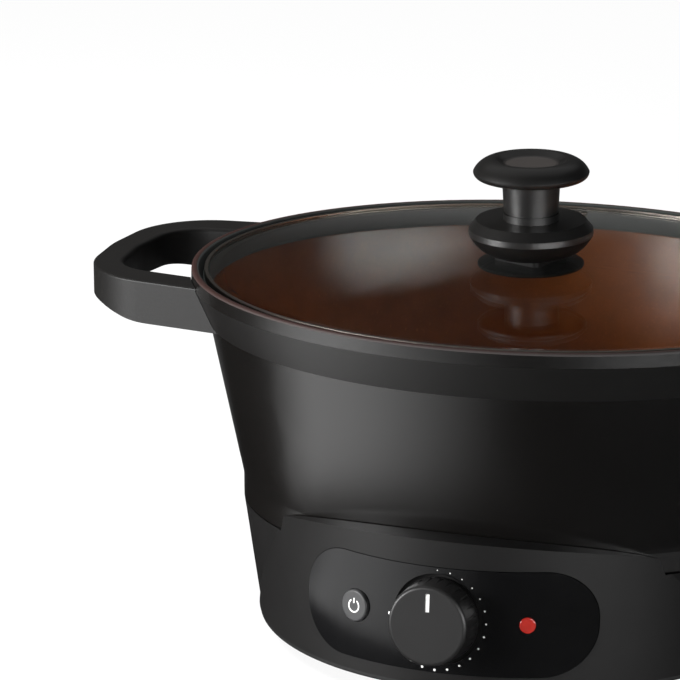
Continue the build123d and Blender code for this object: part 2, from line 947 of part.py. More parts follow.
def make_heating_plate():
    points = [(0, plate_low), (plate_radius, plate_low), (plate_radius, pot_underside), (0, pot_underside)]
    plate = oval(points, {1: 1.5, 2: 1.5})
    for place in leg_places():
        plate += rod(leg_radius, liner_floor, plate_low + 1, place)
    plate -= rod(plate_bore, plate_low - 1, pot_underside + 1)
    groove = Pos(element_place, plate_low) * Circle(element_radius + element_play)
    plate -= revolve(Plane.XZ * groove, Axis.Z)
    for place in leg_places():
        hole_top = liner_floor + plate_screw_bite + 0.5
        plate -= rod(plate_screw_radius + thread_play, liner_floor - 1, hole_top, place)
    return plate


def make_heating_element():
    section = Plane.XZ * (Pos(element_place, plate_low) * Circle(element_radius))
    coil = Rot(0, 0, -90 + element_gap / 2) * revolve(section, Axis.Z, 360 - element_gap)
    for place in terminal_places():
        coil += rod(terminal_radius, plate_low - terminal_drop, plate_low, place)
        coil += Pos(*place, plate_low) * Sphere(element_radius)
    return coil


def make_terminal_bushings():
    floor_under = liner_floor - liner_sheet
    bushings = []
    for place in terminal_places():
        bushing = rod(bushing_tube, floor_under - bushing_length, floor_under, place)
        bushing += rod(bushing_neck, floor_under, liner_floor + 0.4, place)
        bushings.append(bushing - rod(terminal_radius + 0.1, 0, liner_floor + 5, place))
    return group(bushings)


def make_plate_screws():
    under = liner_floor - liner_sheet
    screws = []
    for place in leg_places():
        head = rod(plate_screw_head, under - plate_screw_head_height, under, place)
        screws.append(head + rod(plate_screw_radius, under, liner_floor + plate_screw_bite, place))
    return group(screws)


# Sprung temperature sensor in its housing
sensor_top = pot_underside - sensor_gap
sensor_cap_low = sensor_top - sensor_cap_height
housing_floor = liner_floor - sensor_housing_drop


def make_temperature_sensor():
    points = [
        (0, sensor_cap_low - sensor_wall),
        (sensor_stem - sensor_wall, sensor_cap_low - sensor_wall),
        (sensor_stem - sensor_wall, sensor_cap_low - sensor_length + sensor_cap_height),
        (sensor_stem, sensor_cap_low - sensor_length + sensor_cap_height),
        (sensor_stem, sensor_cap_low),
        (sensor_cap, sensor_cap_low),
        (sensor_cap, sensor_top),
        (0, sensor_top),
    ]
    return turn(points, {6: 1.0})


def make_sensor_housing():
    under = liner_floor - liner_sheet
    outer = sensor_bore + sensor_housing_wall
    points = [
        (0, housing_floor),
        (outer, housing_floor),
        (outer, under - 1.6),
        (sensor_housing_flange, under - 1.6),
        (sensor_housing_flange, under),
        (outer, under),
        (outer, liner_floor + sensor_housing_rise),
        (sensor_bore, liner_floor + sensor_housing_rise),
        (sensor_bore, housing_floor + sensor_housing_floor),
        (0, housing_floor + sensor_housing_floor),
    ]
    return turn(points, {})


def make_sensor_spring():
    low = housing_floor + sensor_housing_floor + spring_wire + 0.05
    high = sensor_cap_low - sensor_wall - spring_wire - 0.05
    pitch = (high - low) / spring_turns
    path = Helix(pitch, high - low, spring_radius)
    section = Plane(origin=path @ 0, z_dir=path % 0) * Circle(spring_wire)
    return Pos(0, 0, low) * sweep(section, path=path)


def make_thermal_fuse():
    under = liner_floor - liner_sheet
    clip = Box(fuse_clip_width, 3 * fuse_radius, fuse_clip_sheet)
    clip = Pos(*fuse_place, under - fuse_clip_sheet / 2) * clip
    barrel = Rot(0, 90, 0) * extrude(Circle(fuse_radius), fuse_length / 2, both=True)
    return clip + Pos(*fuse_place, under - fuse_clip_sheet - fuse_radius + 0.6) * barrel


# Underside: the cover with its posts, the long screws and their nuts, the feet
def make_bottom_cover():
    radius = shell_low_radius - cover_inset
    plate = oval([(0, foot_height), (radius, foot_height), (radius, shell_low), (0, shell_low)], {1: 1.0})
    reach = console_front(shell_low) - cover_inset
    pod = console([(0, foot_height), (reach, foot_height), (reach, shell_low), (0, shell_low)], {1: 1.0})
    plate += pod & arch_prism(0).translate((0, 0, foot_height - shell_low))
    for place in post_places:
        plate += rod(post_radius, shell_low, liner_floor - liner_sheet, place)
    cuts = []
    for place in board_boss_places():
        plate += rod(board_boss_radius, shell_low, board_low, place)
        screw_low = board_low + board_thickness - board_screw_bite
        cuts.append(rod(board_screw_radius + thread_play, screw_low - 0.5, board_low + 1, place))
    for place in post_places:
        cuts.append(rod(base_screw_radius + bore_play, foot_height - 1, liner_floor, place))
        cuts.append(rod(base_screw_head + bore_play, foot_height - 1, foot_height + base_screw_sink, place))
    for place in foot_places.values():
        cuts.append(rod(stud_radius + stud_play, foot_height - 1, shell_low + 1, place))
    for index in range(vent_slots):
        y = (index - (vent_slots - 1) / 2) * slot_pitch
        slot = extrude(SlotOverall(slot_length, slot_width), cover_thickness + 2)
        cuts.append(Pos(0, y, foot_height - 1) * slot)
    return plate - cuts


def make_base_screws():
    head_top = foot_height + base_screw_sink
    screws = []
    for place in post_places:
        head = rod(base_screw_head, head_top - base_screw_head_height, head_top, place)
        shank = rod(base_screw_radius, head_top, liner_floor + base_nut_height + 0.8, place)
        socket = Pos(*place, head_top - base_screw_head_height) * extrude(RegularPolygon(1.6, 6), 1.4)
        screws.append(head + shank - socket)
    return group(screws)


def make_liner_nuts():
    nuts = []
    for place in post_places:
        nut = Pos(*place, liner_floor) * extrude(RegularPolygon(base_nut_radius, 6), base_nut_height)
        nuts.append(nut - rod(base_screw_radius + thread_play, liner_floor - 1, liner_floor + 10, place))
    return group(nuts)


def make_foot(place):
    points = [
        (0, 0),
        (foot_radius - 0.8, 0),
        (foot_radius, foot_height),
        (stud_radius, foot_height),
        (stud_radius, foot_height + stud_height),
        (0, foot_height + stud_height),
    ]
    return Pos(*place, 0) * turn(points, {1: foot_round, 4: 0.8})


# Cord gland and terminal block
def make_cord_gland():
    points = [
        (gland_bore, -gland_depth),
        (gland_radius, -gland_depth),
        (gland_radius, gland_seat),
        (gland_flange, gland_seat),
        (gland_flange - 1.5, gland_seat + gland_proud),
        (gland_bore, gland_seat + gland_proud),
    ]
    return gland_plane * turn(points, {4: 1.2})


def make_gland_nut():
    nut = extrude(RegularPolygon(gland_nut_radius, 6), gland_nut_length)
    nut = Pos(0, 0, gland_back - gland_nut_length) * nut
    return gland_plane * (nut - rod(gland_radius + thread_play, -gland_depth, 0))


def make_terminal_block():
    length, depth, height = terminal_block_size
    block = Pos(*terminal_block_place, shell_low + height / 2) * Box(length, depth, height)
    for index in range(terminal_ways):
        x = terminal_block_place[0] + (index - (terminal_ways - 1) / 2) * terminal_pitch
        wire_hole = Pos(x, terminal_block_place[1], shell_low + height / 2 - 1) * Rot(90, 0, 0)
        block -= wire_hole * extrude(Circle(terminal_hole), depth, both=True)
        screw_place = (x, terminal_block_place[1])
        block -= rod(terminal_hole - 0.4, shell_low + height / 2, shell_low + height + 1, screw_place)
    return block


makers = {
    "pot_body": make_pot_body,
    "left_handle": lambda: make_handle(-1),
    "right_handle": lambda: make_handle(1),
    "handle_screws": make_handle_screws,
    "lid_glass": make_lid_glass,
    "lid_band": make_lid_band,
    "vent_eyelet": make_vent_eyelet,
    "knob_guard": make_knob_guard,
    "lid_knob": make_lid_knob,
    "knob_insert": make_knob_insert,
    "knob_washer": make_knob_washer,
    "knob_screw": make_knob_screw,
    "base_shell": make_base_shell,
    "control_fascia": make_control_fascia,
    "control_dial": make_control_dial,
    "dial_pointer": make_dial_pointer,
    "dial_shaft": make_dial_shaft,
    "rotary_switch": make_rotary_switch,
    "switch_nut": make_switch_nut,
    "power_button": make_power_button,
    "button_switch": make_button_switch,
    "indicator_lens": make_indicator_lens,
    "control_board": make_control_board,
    "board_screws": make_board_screws,
    "well_liner": make_well_liner,
    "heating_plate": make_heating_plate,
    "heating_element": make_heating_element,
    "terminal_bushings": make_terminal_bushings,
    "plate_screws": make_plate_screws,
    "temperature_sensor": make_temperature_sensor,
    "sensor_housing": make_sensor_housing,
    "sensor_spring": make_sensor_spring,
    "thermal_fuse": make_thermal_fuse,
    "bottom_cover": make_bottom_cover,
    "base_screws": make_base_screws,
    "liner_nuts": make_liner_nuts,
    "cord_gland": make_cord_gland,
    "gland_nut": make_gland_nut,
    "terminal_block": make_terminal_block,
}

# The pot's axis lies behind the middle of the whole length from the dial's face to the pot's rim
dial_front = dial_plane.from_local_coords((0, dial_taper + dial_edge - dial_radius, dial_proud)).Y
rim_back = (rim_radius + ridge_flare) * oval_ratio
setback = -(dial_front + rim_back) / 2


def save(shape, name):
    export_step(Pos(0, setback, 0) * shape, "parts/" + name + ".step")


for name, make in makers.items():
    save(make(), name)

for corner, place in foot_places.items():
    save(make_foot(place), "foot_" + corner)
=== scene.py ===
from math import cos, pi, radians, sin, sqrt

import bpy
from mathutils import Matrix, Vector


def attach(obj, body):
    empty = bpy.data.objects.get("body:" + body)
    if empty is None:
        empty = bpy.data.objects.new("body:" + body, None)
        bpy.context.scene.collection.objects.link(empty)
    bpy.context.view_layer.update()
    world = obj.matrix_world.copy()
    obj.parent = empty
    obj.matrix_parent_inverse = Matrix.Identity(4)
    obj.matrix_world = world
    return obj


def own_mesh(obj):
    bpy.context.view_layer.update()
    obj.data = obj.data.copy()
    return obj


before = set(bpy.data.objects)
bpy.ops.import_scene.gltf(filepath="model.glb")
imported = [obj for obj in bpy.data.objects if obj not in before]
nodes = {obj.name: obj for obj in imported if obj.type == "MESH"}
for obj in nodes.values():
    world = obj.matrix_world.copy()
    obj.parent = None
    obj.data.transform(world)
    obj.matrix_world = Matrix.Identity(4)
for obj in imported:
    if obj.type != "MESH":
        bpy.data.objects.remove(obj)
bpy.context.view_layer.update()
potAxis = 0.006382          # the y of the upright axis that the pot, lid, plate, sensor and console share
print("frame loaded,", len(nodes), "CAD nodes")


class Wire:
    # a socket of a finish, so that shader maths reads as arithmetic
    def __init__(self, finish, socket):
        self.finish, self.socket = finish, socket

    def maths(self, operation, first, second):
        return self.finish.add("Math", {"operation": operation}, {0: first, 1: second})

    def __add__(self, other):
        return self.maths("ADD", self, other)

    def __sub__(self, other):
        return self.maths("SUBTRACT", self, other)

    def __rsub__(self, other):
        return self.maths("SUBTRACT", other, self)

    def __mul__(self, other):
        return self.maths("MULTIPLY", self, other)

    def __gt__(self, other):
        return self.maths("GREATER_THAN", self, other)

    def __lt__(self, other):
        return self.maths("LESS_THAN", self, other)

    def power(self, other):
        return self.maths("POWER", self, other)

    def either(self, other):
        return self.maths("MAXIMUM", self, other)

    __radd__, __rmul__ = __add__, __mul__


class Finish:
    # one material, or the world, and the few kinds of node that it is made of
    def __init__(self, name, tree=None):
        if tree is None:
            self.material = bpy.data.materials.new(name)
            self.material.use_nodes = True
            tree = self.material.node_tree
        self.tree = tree
        self.tree.nodes.clear()

    def add(self, kind, settings=None, inputs=None, output=0):
        # settings come first, then each input is linked or given its value
        node = self.tree.nodes.new("ShaderNode" + kind)
        for name, value in (settings or {}).items():
            if name == "stops":
                while len(node.color_ramp.elements) < len(value):
                    node.color_ramp.elements.new(1)
                for element, (place, colour) in zip(node.color_ramp.elements, value):
                    element.position, element.color = place, (*colour, 1)
            else:
                setattr(node, name, value)
        for name, value in (inputs or {}).items():
            socket = node.inputs[name]
            if isinstance(value, Wire):
                self.tree.links.new(value.socket, socket)
            elif socket.type == "RGBA" and len(value) == 3:
                socket.default_value = (*value, 1)
            else:
                socket.default_value = value
        return Wire(self, node.outputs[output]) if len(node.outputs) else None

    def outputs(self, kind, names):
        # several outputs of one new node
        sockets = self.add(kind).socket.node.outputs
        return [Wire(self, sockets[name]) for name in names]

    def place(self):
        return self.add("TexCoord", output=3)

    def stretch(self, vector, scale=(1, 1, 1), move=(0, 0, 0)):
        return self.add("Mapping", inputs={"Vector": vector, "Scale": scale, "Location": move})

    def axes(self, vector):
        split = self.add("SeparateXYZ", inputs={"Vector": vector})
        return [Wire(self, output) for output in split.socket.node.outputs]

    def noise(self, vector, scale, detail, rough=0.5):
        return self.add("TexNoise", {}, {"Vector": vector, "Scale": scale, "Detail": detail,
                                         "Roughness": rough})

    def ramp(self, value, low, high, start=0.0, end=1.0):
        # value from low to high becomes start to end, and stays there outside
        return self.add("MapRange", {"interpolation_type": "SMOOTHSTEP"},
                        {"Value": value, "From Min": low, "From Max": high, "To Min": start, "To Max": end})

    def tint(self, factor, first, second):
        return self.add("Mix", {"data_type": "RGBA"}, {0: factor, 6: first, 7: second}, output=2)

    def bump(self, height, depth):
        return self.add("Bump", {}, {"Height": height, "Distance": depth, "Strength": 1.0})

    def surface(self, **inputs):
        # baseColor becomes the input Base Color, and the short names below stand for longer ones
        short = {"Specular": "Specular IOR Level", "Ior": "IOR", "Transmission": "Transmission Weight",
                 "Coat": "Coat Weight"}
        named = {}
        for name, value in inputs.items():
            spaced = "".join(" " + letter if letter.isupper() else letter for letter in name)
            title = spaced[0].upper() + spaced[1:]
            named[short.get(title, title)] = value
        return self.add("BsdfPrincipled", {}, named)

    def close(self, shader):
        self.add("OutputMaterial", {}, {"Surface": shader})
        return self.material


def shade(colour, amount):
    return tuple(min(1, c * amount) for c in colour)


# in the three tables of finishes, rough 0 is a mirror, and depth is how deep the grain is, in metres
mouldedLooks = {
    "handlePhenolic": {"colour": (0.006, 0.0056, 0.0053), "rough": 0.46, "depth": 0.00004, "grain": 700},
    "washerBlack": {"colour": (0.004, 0.0038, 0.0037), "rough": 0.75, "depth": 0.00003, "grain": 900,
                    "specular": 0.1},
    "baseSatin": {"colour": (0.009, 0.0087, 0.0086), "rough": 0.46, "depth": 0.00002, "grain": 1100,
                  "specular": 0.16},
    "coverGrained": {"colour": (0.012, 0.012, 0.012), "rough": 0.55, "depth": 0.00007, "grain": 500},
    "fasciaGloss": {"colour": (0.004, 0.004, 0.0043), "rough": 0.14, "depth": 0.000004, "grain": 300,
                    "specular": 0.5, "mottle": 0.06},
    "controlSatin": {"colour": (0.012, 0.0116, 0.0116), "rough": 0.42, "depth": 0.00004, "grain": 800},
    "markWhite": {"colour": (0.78, 0.78, 0.76), "rough": 0.4, "depth": 0.00001, "grain": 1200,
                  "mottle": 0.03},
    "buttonGrey": {"colour": (0.035, 0.035, 0.036), "rough": 0.42, "depth": 0.00004, "grain": 800},
    "switchCream": {"colour": (0.55, 0.52, 0.43), "rough": 0.45, "depth": 0.00005, "grain": 600},
    "heatPlastic": {"colour": (0.03, 0.026, 0.022), "rough": 0.5, "depth": 0.00006, "grain": 500},
    "glandBlack": {"colour": (0.011, 0.011, 0.011), "rough": 0.45, "depth": 0.00005, "grain": 700},
    "ceramicGlaze": {"colour": (0.78, 0.74, 0.64), "rough": 0.22, "depth": 0.00002, "grain": 300,
                     "specular": 0.6, "mottle": 0.05},
    "chipBlack": {"colour": (0.015, 0.015, 0.016), "rough": 0.55, "depth": 0.00005, "grain": 1500},
}
# the knob has the same mottling
plasticWear = {"mottleScale": 22, "mottleRough": 0.08, "grainRough": 0.06}


def mouldedFinish(name, colour, rough, depth, grain, specular=0.4, mottle=0.12):
    # moulded plastic: a fine eroded grain, faint broad mottling and slightly polished high spots
    wear = plasticWear
    finish = Finish(name)
    place = finish.place()
    fine = finish.noise(place, grain, 4, 0.6)
    broad = finish.noise(place, wear["mottleScale"], 3)
    body = finish.tint(broad, shade(colour, 1 - mottle), shade(colour, 1 + mottle))
    roughness = rough + wear["mottleRough"] * (broad - 0.5) + wear["grainRough"] * (fine - 0.5)
    return finish.close(finish.surface(
        baseColor=body, roughness=roughness, specular=specular, normal=finish.bump(fine, depth)))


brushedLooks = {
    "lidSteel": {"colour": (0.3, 0.27, 0.24), "rough": 0.36, "stretch": (0.1, 0.1, 1), "scale": 20,
                 "depth": 0.0000001, "tarnish": (0.3, 0.26, 0.22)},
    "wellSteel": {"colour": (0.56, 0.555, 0.54), "rough": 0.33, "stretch": (0.3, 0.3, 14), "scale": 90},
    "zincPlate": {"colour": (0.6, 0.61, 0.62), "rough": 0.32, "stretch": (1, 1, 6), "scale": 300,
                  "tarnish": (0.62, 0.55, 0.36), "tarnishShare": 0.25},
    "shaftSteel": {"colour": (0.56, 0.56, 0.56), "rough": 0.28, "stretch": (8, 1, 8), "scale": 160},
    "springSteel": {"colour": (0.42, 0.4, 0.38), "rough": 0.3, "stretch": (4, 4, 1), "scale": 500},
    "insertBrass": {"colour": (0.72, 0.5, 0.2), "rough": 0.28, "stretch": (1, 1, 5), "scale": 300,
                    "tarnish": (0.4, 0.25, 0.1), "tarnishShare": 0.3},
    "fuseTin": {"colour": (0.66, 0.66, 0.68), "rough": 0.3, "stretch": (1, 5, 5), "scale": 260},
}
brushedWear = {"dark": 0.86, "light": 1.08, "lineRough": 0.14,
               "patchScale": 35, "patchStart": 0.52, "patchFull": 0.75, "patchRough": 0.5}


def brushedFinish(name, colour, rough, stretch, scale, depth=0.00001, tarnish=(0.6, 0.5, 0.4),
                  tarnishShare=0.1):
    # metal with fine lines drawn out along one axis, and a little tarnish in patches
    wear = brushedWear
    finish = Finish(name)
    place = finish.place()
    lines = finish.noise(finish.stretch(place, stretch), scale, 5, 0.7)
    spots = finish.noise(place, wear["patchScale"], 4)
    patches = finish.ramp(spots, wear["patchStart"], wear["patchFull"], 0, tarnishShare)
    clean = finish.tint(lines, shade(colour, wear["dark"]), shade(colour, wear["light"]))
    return finish.close(finish.surface(
        baseColor=finish.tint(patches, clean, tarnish), metallic=1.0,
        roughness=rough + wear["lineRough"] * (lines - 0.5) + patches * wear["patchRough"],
        normal=finish.bump(lines, depth)))


turnedLooks = {
    "plateCasting": {"colour": (0.52, 0.52, 0.51), "rough": 0.42, "pitch": 0.0009, "depth": 0.00003,
                     "grain": 0.3},
    "sensorTurned": {"colour": (0.66, 0.66, 0.66), "rough": 0.3, "pitch": 0.0006, "depth": 0.00001,
                     "grain": 0.15},
}
turnedWear = {"dark": 0.82, "light": 1.1, "gritScale": 420, "gritRough": 0.2, "ringRough": 0.03,
              "ringShare": 0.5}


def turnedFinish(name, colour, rough, pitch, depth, grain):
    # turned metal: close rings round the pot's axis, broken up by the casting's grain
    wear = turnedWear
    finish = Finish(name)
    place = finish.place()
    x, y, z = finish.axes(finish.stretch(place, move=(0, -potAxis, 0)))
    reach = (x * x + y * y).power(0.5)
    rings = finish.add("Math", {"operation": "SINE"}, {0: reach * (2 * pi / pitch)})
    grit = finish.noise(place, wear["gritScale"], 4, 0.65)
    height = rings * wear["ringShare"] + grit * grain
    return finish.close(finish.surface(
        baseColor=finish.tint(grit, shade(colour, wear["dark"]), shade(colour, wear["light"])),
        metallic=1.0, roughness=rough + wear["gritRough"] * (grit - 0.5) + rings * wear["ringRough"],
        normal=finish.bump(height, depth)))


potPaint = {
    "black": (0.004, 0.0034, 0.003), "blackRough": 0.25, "blackCoat": 0.4, "blackCoatRough": 0.22,
    "mottle": 0.15, "mottleRough": 0.05, "peelRough": 0.05, "bandRough": 0.4,
    "coatDark": (0.1, 0.028, 0.006), "coatLight": (0.2, 0.055, 0.0105), "coatRough": 0.25,
    "cloudRough": 0.03, "fleck": (0.26, 0.08, 0.018), "fleckShare": 0.6, "fleckEdges": (0.6, 0.72),
    "rim": (0.016, 0.0045, 0.003), "rimRougher": 0.45,
    "throat": (0.02, 0.024, 0.022), "throatRough": 0.8, "specular": 0.8, "depth": 0.00003,
    "coatPeelLess": 0.6, "grit": 0.25, "coatGritMore": 0.5,
    "peelScale": 260, "gritScale": 1500, "broadScale": 14, "fleckScale": 900, "cloudScale": 60,
}
potPlaces = {
    "squeeze": 0.816092,                              # the oval's depth as a share of its length
    "wallReach": 0.1467, "wallHeight": 0.079, "wallFlare": 0.2125,      # between the two faces of the wall
    "seatHeight": 0.0605, "seatStep": 0.0035, "lipHeight": 0.172, "lipStep": 0.003,
    "floor": 0.0425, "throat": 0.1662, "rim": 0.1787, "bandLow": 0.1542, "bandHigh": 0.1725,
}


def potFinish():
    # satin black outside, a speckled copper-brown coating inside and over the rim
    paint, at = potPaint, potPlaces
    finish = Finish("castPotCoats")
    place = finish.place()
    rounded = finish.stretch(place, (1, 1 / at["squeeze"], 1), (0, -potAxis / at["squeeze"], 0))
    x, y, z = finish.axes(rounded)
    reach = (x * x + y * y).power(0.5)
    wall = at["wallReach"] + at["wallFlare"] * (z - at["wallHeight"]) \
        - at["seatStep"] * (z < at["seatHeight"]) + at["lipStep"] * (z > at["lipHeight"])
    inside = (reach < wall) * (z > at["floor"])
    rim = z > at["rim"]
    brown = inside.either(rim)
    throat = inside * (z > at["throat"])
    band = (z > at["bandLow"]) * (z < at["bandHigh"]) * (1 - brown)
    peel = finish.noise(place, paint["peelScale"], 3, 0.5)          # the paint's orange peel
    grit = finish.noise(place, paint["gritScale"], 3, 0.6)
    broad = finish.noise(place, paint["broadScale"], 3)
    flecks = finish.ramp(finish.noise(place, paint["fleckScale"], 2, 0.7), *paint["fleckEdges"])
    cloud = finish.noise(place, paint["cloudScale"], 4, 0.6)
    coat = finish.tint(cloud, paint["coatDark"], paint["coatLight"])
    coat = finish.tint(flecks * paint["fleckShare"], coat, paint["fleck"])
    coat = finish.tint(rim, coat, paint["rim"])
    coat = finish.tint(throat, coat, paint["throat"])
    black = finish.tint(broad, shade(paint["black"], 1 - paint["mottle"]),
                        shade(paint["black"], 1 + paint["mottle"]))
    body = finish.tint(brown, black, coat)
    blackRough = paint["blackRough"] + paint["mottleRough"] * (broad - 0.5) \
        + paint["peelRough"] * (peel - 0.5)
    coatRough = paint["coatRough"] + paint["cloudRough"] * (cloud - 0.5) + paint["rimRougher"] * rim \
        + (paint["throatRough"] - paint["coatRough"]) * throat
    roughness = blackRough * (1 - brown) + coatRough * brown \
        + (paint["bandRough"] - paint["blackRough"]) * band
    height = peel * (1 - paint["coatPeelLess"] * brown) \
        + grit * (paint["grit"] + paint["coatGritMore"] * brown)
    return finish.close(finish.surface(
        baseColor=body, roughness=roughness, specular=paint["specular"],
        coat=paint["blackCoat"] * (1 - brown) * (1 - band), coatRoughness=paint["blackCoatRough"],
        normal=finish.bump(height, paint["depth"])))


knobPaint = {
    "colour": (0.004, 0.0037, 0.0034), "mottle": 0.12, "rough": 0.6, "specular": 0.15,
    "grain": 900, "depth": 0.00002, "polish": 0.9, "polishRough": 0.36, "polishHeight": 0.2,
    # the lighter dish colour is a painted reflection of the light above
    "dish": (0.034, 0.03, 0.028), "dishReach": 0.0145, "dishEdge": 0.003, "dishHeight": 0.234,
    "dishSheenShare": 0.7, "dishSheenMottle": 0.6,
}


def knobFinish():
    # black phenolic: polished where fingers reach, matt on the boss, and a painted reflection lightens the
    # dish
    k = knobPaint
    finish = Finish("knobPhenolic")
    place = finish.place()
    x, y, z = finish.axes(finish.stretch(place, move=(0, -potAxis, 0)))
    reach = (x * x + y * y).power(0.5)
    dish = finish.ramp(reach, k["dishReach"] - k["dishEdge"], k["dishReach"], 1, 0) * (z > k["dishHeight"])
    fine = finish.noise(place, k["grain"], 4, 0.6)
    broad = finish.noise(place, plasticWear["mottleScale"], 3)
    body = finish.tint(broad, shade(k["colour"], 1 - k["mottle"]), shade(k["colour"], 1 + k["mottle"]))
    # a painted reflection of the light above lightens the dish floor
    body = finish.tint(dish * (k["dishSheenShare"] + k["dishSheenMottle"] * broad), body, k["dish"])
    return finish.close(finish.surface(
        baseColor=body, roughness=k["rough"] + plasticWear["mottleRough"] * (broad - 0.5),
        specular=k["specular"],
        coat=k["polish"] * (z > k["polishHeight"]), coatRoughness=k["polishRough"],
        normal=finish.bump(fine, k["depth"])))


glassLook = {
    "dim": (0.945, 0.975, 0.96), "clean": (0.97, 0.985, 0.975), "shadow": (0.965, 0.98, 0.97),
    "ior": 1.33, "wave": 0.000003, "waveScale": 9, "wipeScale": 26, "wipeStretch": (1, 2.2, 1),
}


def glassFinish():
    # clear float glass with a faint green cast and wiping marks, which lets shadow rays straight through
    g = glassLook
    finish = Finish("lidFloatGlass")
    place = finish.place()
    waves = finish.noise(place, g["waveScale"], 2)
    wipes = finish.noise(finish.stretch(place, g["wipeStretch"]), g["wipeScale"], 4, 0.6)
    glass = finish.surface(baseColor=finish.tint(wipes, g["dim"], g["clean"]), roughness=0.0,
                           transmission=1.0, ior=g["ior"], normal=finish.bump(waves, g["wave"]))
    clear = finish.add("BsdfTransparent", {}, {"Color": g["shadow"]})
    shadow, = finish.outputs("LightPath", ["Is Shadow Ray"])
    return finish.close(finish.add("MixShader", {}, {0: shadow, 1: glass, 2: clear}))


lensLook = {
    "dark": (0.33, 0.012, 0.008), "light": (0.6, 0.03, 0.018), "patchScale": 180, "specular": 0.6,
    "coat": 0.4, "rough": 0.16, "ribScale": 1200, "ribRough": 0.05, "depth": 0.00003,
}


def lensFinish():
    # deep red moulded lens, a little lighter in patches
    red = lensLook
    finish = Finish("indicatorRed")
    place = finish.place()
    ribs = finish.noise(place, red["ribScale"], 1)
    body = finish.tint(finish.noise(place, red["patchScale"], 2), red["dark"], red["light"])
    return finish.close(finish.surface(
        baseColor=body, roughness=red["rough"] + red["ribRough"] * ribs,
        specular=red["specular"], coat=red["coat"], normal=finish.bump(ribs, red["depth"])))


boardLook = {
    "maskDark": (0.008, 0.09, 0.035), "maskLight": (0.014, 0.14, 0.055), "track": (0.03, 0.24, 0.09),
    "trackScale": 90.0, "trackWidth": 0.035, "trackShift": 0.37, "rough": 0.3, "specular": 0.5,
    "fibreScale": 300, "fibreStretch": (1, 6, 1), "fibreRough": 0.1, "depth": 0.00002,
}


def boardFinish():
    # green solder mask over tracks that run in two directions
    b = boardLook
    finish = Finish("boardMask")
    place = finish.place()
    tracks = finish.add("TexBrick", {"offset": b["trackShift"], "squash": 1.0},
                        {"Vector": place, "Scale": b["trackScale"], "Mortar Size": b["trackWidth"],
                         "Color1": (0, 0, 0), "Color2": (0, 0, 0), "Mortar": (1, 1, 1)})
    fibre = finish.noise(finish.stretch(place, b["fibreStretch"]), b["fibreScale"], 3)
    mask = finish.tint(fibre, b["maskDark"], b["maskLight"])
    return finish.close(finish.surface(
        baseColor=finish.tint(tracks, mask, b["track"]), roughness=b["rough"] + b["fibreRough"] * fibre,
        specular=b["specular"], normal=finish.bump(fibre, b["depth"])))


heaterLook = {
    "stops": [(0.3, (0.09, 0.08, 0.075)), (0.5, (0.16, 0.13, 0.1)), (0.62, (0.12, 0.09, 0.12)),
              (0.75, (0.2, 0.17, 0.12))],
    "heatScale": 30, "oxideScale": 700, "metallic": 0.85, "rough": 0.35, "oxideRough": 0.25,
    "depth": 0.00004,
}


def elementFinish():
    # sheath of the heater: dark oxide scale with straw and blue heat colours
    h = heaterLook
    finish = Finish("heaterOxide")
    place = finish.place()
    heat = finish.noise(place, h["heatScale"], 3)
    oxide = finish.noise(place, h["oxideScale"], 4, 0.7)
    colours = finish.add("ValToRGB", {"stops": h["stops"]}, {"Fac": heat})
    return finish.close(finish.surface(
        baseColor=colours, metallic=h["metallic"], roughness=h["rough"] + h["oxideRough"] * oxide,
        normal=finish.bump(oxide, h["depth"])))


rubberLook = {
    "black": (0.012, 0.012, 0.012), "dust": (0.04, 0.038, 0.036), "dustScale": 55, "dustShare": 0.35,
    "dustStart": 0.5, "dustFull": 0.8, "rough": 0.72, "specular": 0.3,
    "grain": 1400, "grainRough": 0.1, "depth": 0.00005,
}


def rubberFinish():
    # matt rubber with a little dust in patches
    r = rubberLook
    finish = Finish("footRubber")
    place = finish.place()
    grain = finish.noise(place, r["grain"], 4, 0.7)
    spots = finish.noise(place, r["dustScale"], 3)
    dust = finish.ramp(spots, r["dustStart"], r["dustFull"], 0, r["dustShare"])
    return finish.close(finish.surface(
        baseColor=finish.tint(dust, r["black"], r["dust"]), roughness=r["rough"] + r["grainRough"] * grain,
        specular=r["specular"], normal=finish.bump(grain, r["depth"])))


finishes = {}
for make in (potFinish, glassFinish, knobFinish, lensFinish, boardFinish, elementFinish, rubberFinish):
    material = make()
    finishes[material.name] = material
families = ((mouldedFinish, mouldedLooks), (brushedFinish, brushedLooks), (turnedFinish, turnedLooks))
for make, looks in families:
    for name, look in looks.items():
        finishes[name] = make(name, **look)

nodeFinishes = {
    "castPotCoats": ["pot_body"],
    "handlePhenolic": ["left_handle", "right_handle"],
    "lidFloatGlass": ["lid_glass"],
    "lidSteel": ["lid_band", "vent_eyelet"],
    "knobPhenolic": ["knob_guard", "lid_knob"],
    "washerBlack": ["knob_washer"],
    "insertBrass": ["knob_insert"],
    "zincPlate": ["knob_screw", "handle_screws", "plate_screws", "base_screws", "liner_nuts",
                  "board_screws", "switch_nut"],
    "baseSatin": ["base_shell"],
    "coverGrained": ["bottom_cover"],
    "fasciaGloss": ["control_fascia"],
    "controlSatin": ["control_dial"],
    "markWhite": ["dial_pointer"],
    "buttonGrey": ["power_button"],
    "indicatorRed": ["indicator_lens"],
    "shaftSteel": ["dial_shaft"],
    "switchCream": ["rotary_switch", "button_switch", "terminal_block"],
    "boardMask": ["control_board"],
    "wellSteel": ["well_liner"],
    "plateCasting": ["heating_plate"],
    "heaterOxide": ["heating_element"],
    "springSteel": ["sensor_spring"],
    "ceramicGlaze": ["terminal_bushings"],
    "sensorTurned": ["temperature_sensor"],
    "heatPlastic": ["sensor_housing"],
    "fuseTin": ["thermal_fuse"],
    "glandBlack": ["cord_gland", "gland_nut"],
    "footRubber": ["foot_front_left", "foot_front_right", "foot_rear_left", "foot_rear_right"],
}

